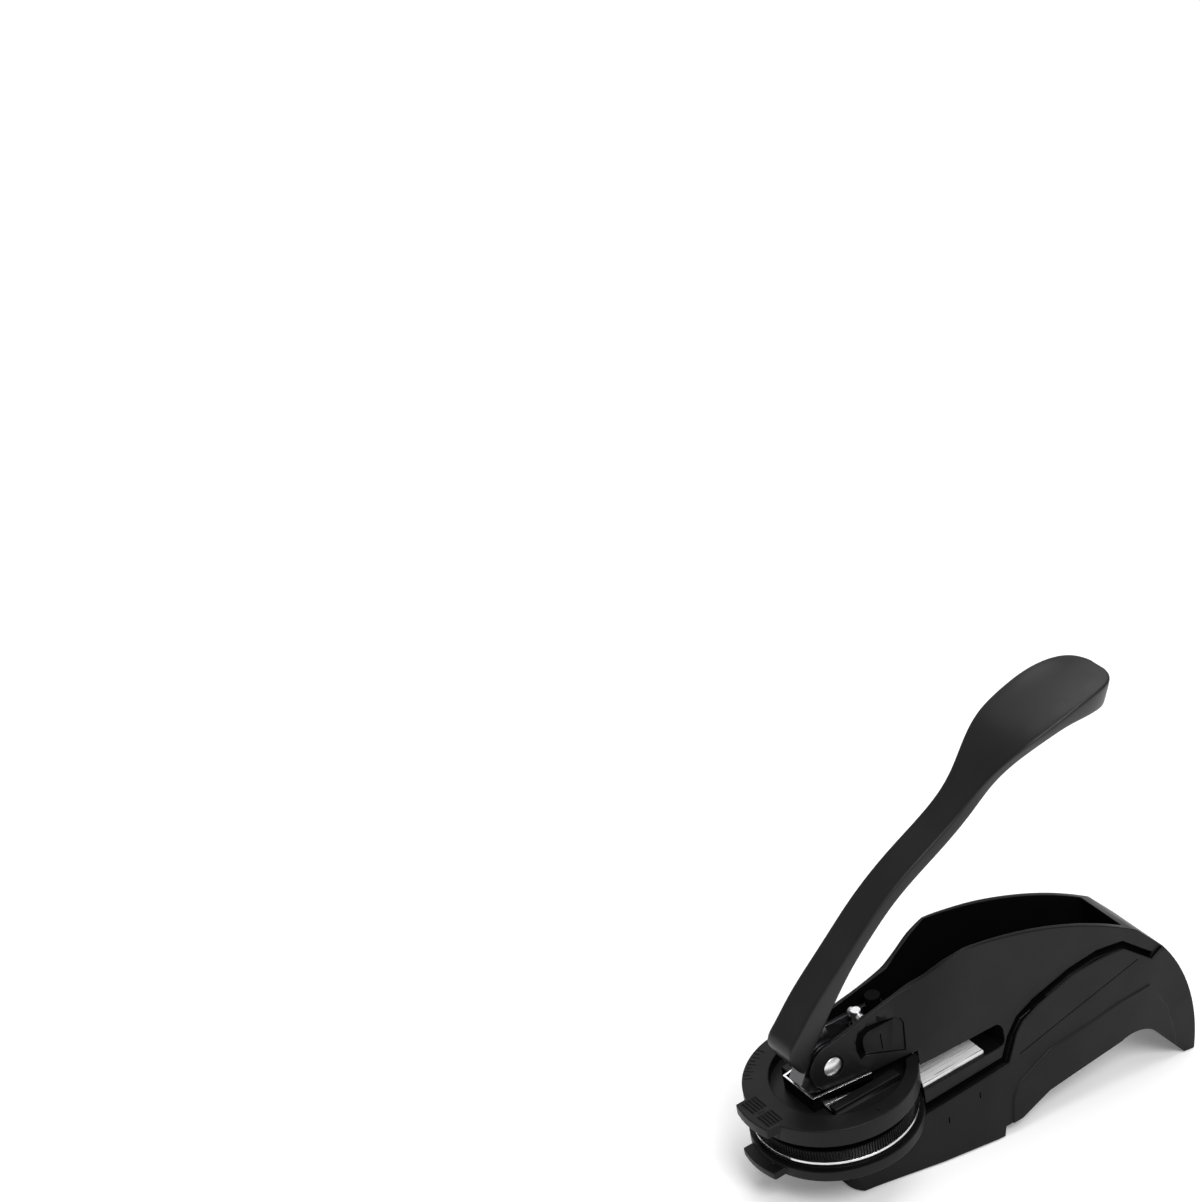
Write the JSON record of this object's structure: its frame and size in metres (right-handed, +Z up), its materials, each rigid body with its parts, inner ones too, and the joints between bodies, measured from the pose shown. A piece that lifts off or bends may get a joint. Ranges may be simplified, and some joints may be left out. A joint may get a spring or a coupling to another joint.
{
  "type": "seal embosser",
  "caption": "Long-reach hand-lever embosser that presses a raised seal into paper between two round dies.",
  "frame": {"origin": "middle of the desk pad on the desk plane", "axes": "+X towards the tail, away from the dies; +Y to the left seen from the tail looking at the dies' rear; +Z up"},
  "size_m": [0.1573, 0.051, 0.1386],
  "materials": {
    "body_shell": "satin black moulding",
    "base_cover": "fine-grained satin black moulding",
    "lever_cover": "satin black moulding, smoother on the spoon",
    "upper_die_holder": "smooth black moulding",
    "lower_die_holder": "dark grey satin moulding",
    "die": "dark machined plastic with a milled rim",
    "bright_ring": "polished",
    "ram_steel": "bright zinc-plated sheet steel",
    "lever_steel": "plain steel, ground on the cam",
    "frame_steel": "plain steel plate",
    "pin_steel": "turned steel",
    "plate_steel": "brushed along the jaw",
    "spring_steel": "drawn spring wire",
    "rubber": "matt black rubber"
  },
  "bodies": {
    "press_frame": {"body_shell": "body_shell", "base_cover": "base_cover", "desk_pad": "rubber", "base_screws": "pin_steel", "frame_plate_left": "frame_steel", "frame_plate_right": "frame_steel", "frame_pin_upper": "pin_steel", "frame_pin_lower": "pin_steel", "throat_plate": "plate_steel", "lever_bumper": "rubber", "pivot_rivet": "pin_steel", "lift_spring": "spring_steel"},
    "lever": {"lever_core": "lever_steel", "lever_cover": "lever_cover"},
    "ram": {"ram_carriage": "ram_steel", "lift_rod": "pin_steel", "cross_pin": "pin_steel"},
    "upper_die_set": {"upper_die_holder": "upper_die_holder", "upper_die": "die"},
    "lower_die_set": {"lower_die_holder": "lower_die_holder", "lower_die": "die", "die_ring": "bright_ring"}
  },
  "joints": [
    {"name": "lever_press", "type": "hinge", "parent": "press_frame", "child": "lever", "pos_m": [-0.0299, 0, 0.04044], "axis": [0, 1, 0], "range_deg": [0, 40], "stiffness_Nm_per_rad": 0.12, "springref_deg": -25.78},
    {"name": "ram_slide", "type": "slide", "parent": "press_frame", "child": "ram", "axis": [0.1719, 0, -0.9851], "range_m": [0, 0.00175], "deforming": ["lift_spring"]},
    {"name": "upper_holder_slide", "type": "slide", "parent": "ram", "child": "upper_die_set", "axis": [-0.9851, 0, -0.1719], "range_m": [0, 0.022]},
    {"name": "lower_holder_slide", "type": "slide", "parent": "press_frame", "child": "lower_die_set", "axis": [-0.9851, 0, -0.1719], "range_m": [0, 0.022]}
  ],
  "couplings": [
    {"joint": "ram_slide", "follows": "lever_press", "m_per_rad": 0.0025066}
  ]
}
